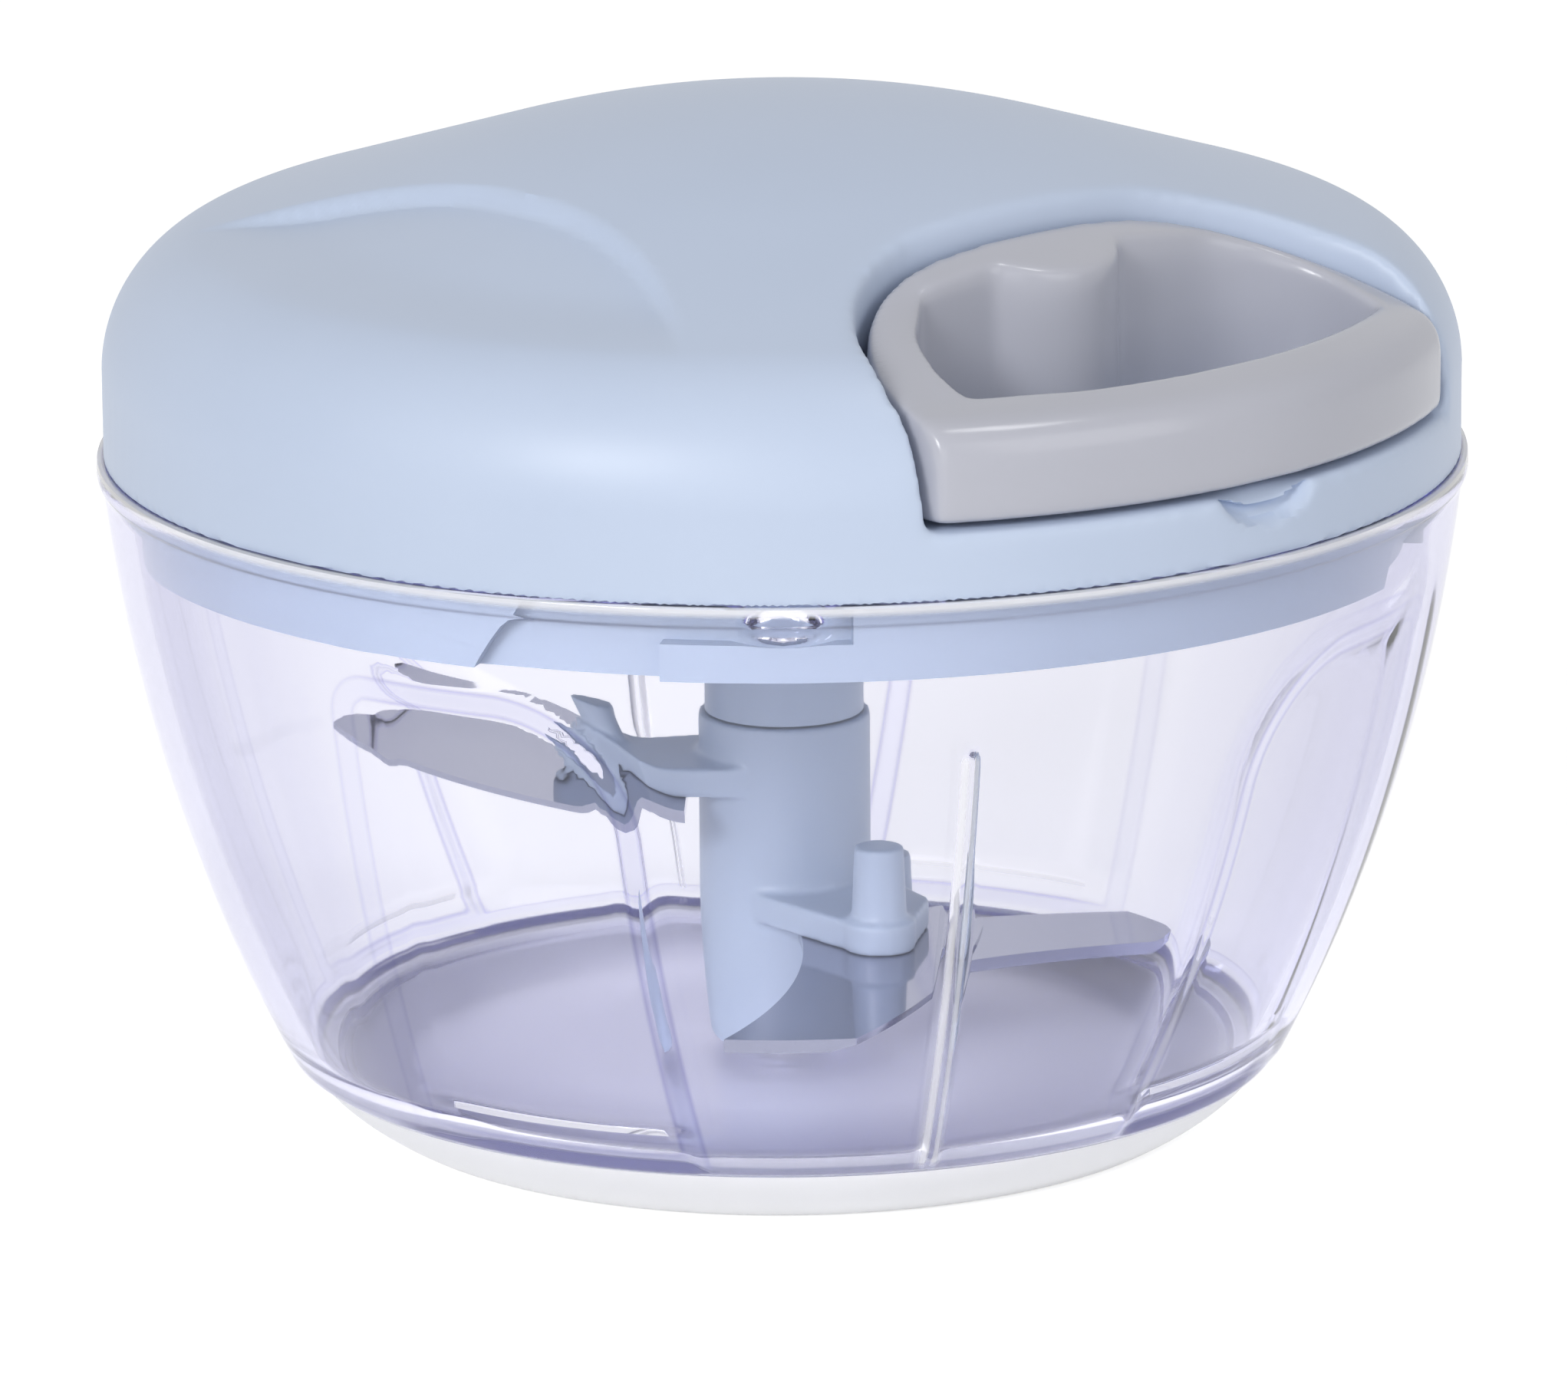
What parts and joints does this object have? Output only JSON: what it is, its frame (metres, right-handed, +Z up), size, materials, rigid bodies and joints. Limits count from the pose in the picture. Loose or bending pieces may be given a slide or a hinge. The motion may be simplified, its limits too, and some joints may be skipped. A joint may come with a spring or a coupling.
{
  "type": "pull-string food chopper",
  "caption": "Hand-pulled food chopper: clear bowl with twist-lock domed lid, pull handle on a sprung cord reel, and a column of three steel blades",
  "frame": {"origin": "centre of the foot ring's underside, on the table", "axes": "+Z up along the bowl axis, -Y to the front, +X to the right seen from the front"},
  "size_m": [0.1282, 0.1282, 0.0963],
  "materials": {
    "clear_plastic": "clear moulded",
    "soft_foot": "soft satin",
    "blue_plastic": "fine satin",
    "grey_plastic": "semi gloss",
    "white_plastic": "moulded",
    "steel": "plain",
    "blade_steel": "polished",
    "cord": "braided"
  },
  "bodies": {
    "bowl": {"bowl": "clear_plastic", "foot_ring": "soft_foot", "pivot_pin": "steel"},
    "lid": {"lid_base": "blue_plastic", "top_cover": "blue_plastic", "cover_screws": "steel", "reel_axle": "steel", "cord_guide": "white_plastic", "cord_run": "cord", "thrust_washer": "steel"},
    "reel": {"reel": "white_plastic", "reel_cap": "white_plastic", "spiral_spring": "steel", "cord_winding": "cord", "drive_socket": "blue_plastic", "socket_screw": "steel"},
    "handle": {"handle": "grey_plastic", "cord_knot": "cord", "cord_lead": "cord"},
    "blades": {"blade_column": "blue_plastic", "blade_lower": "blade_steel", "blade_middle": "blade_steel", "blade_upper": "blade_steel"}
  },
  "joints": [
    {"name": "lid_twist", "type": "hinge", "parent": "bowl", "child": "lid", "pos_m": [0, 0, 0.0637], "axis": [0, 0, 1], "range_deg": [0, 15]},
    {"name": "handle_pull", "type": "slide", "parent": "lid", "child": "handle", "axis": [0.6884, -0.7254, 0], "range_m": [0, 0.5], "stiffness_N_per_m": 8, "springref_m": -0.15},
    {"name": "reel_spin", "type": "hinge", "parent": "lid", "child": "reel", "pos_m": [0, 0, 0.078], "axis": [0, 0, 1], "range_deg": [0, 1700]},
    {"name": "blade_spin", "type": "hinge", "parent": "lid", "child": "blades", "pos_m": [0, 0, 0.0156], "axis": [0, 0, 1], "range_deg": [0, 1700]}
  ],
  "couplings": [
    {"joint": "reel_spin", "follows": "handle_pull", "rad_per_m": 58.824},
    {"joint": "blade_spin", "follows": "handle_pull", "rad_per_m": 58.824}
  ]
}
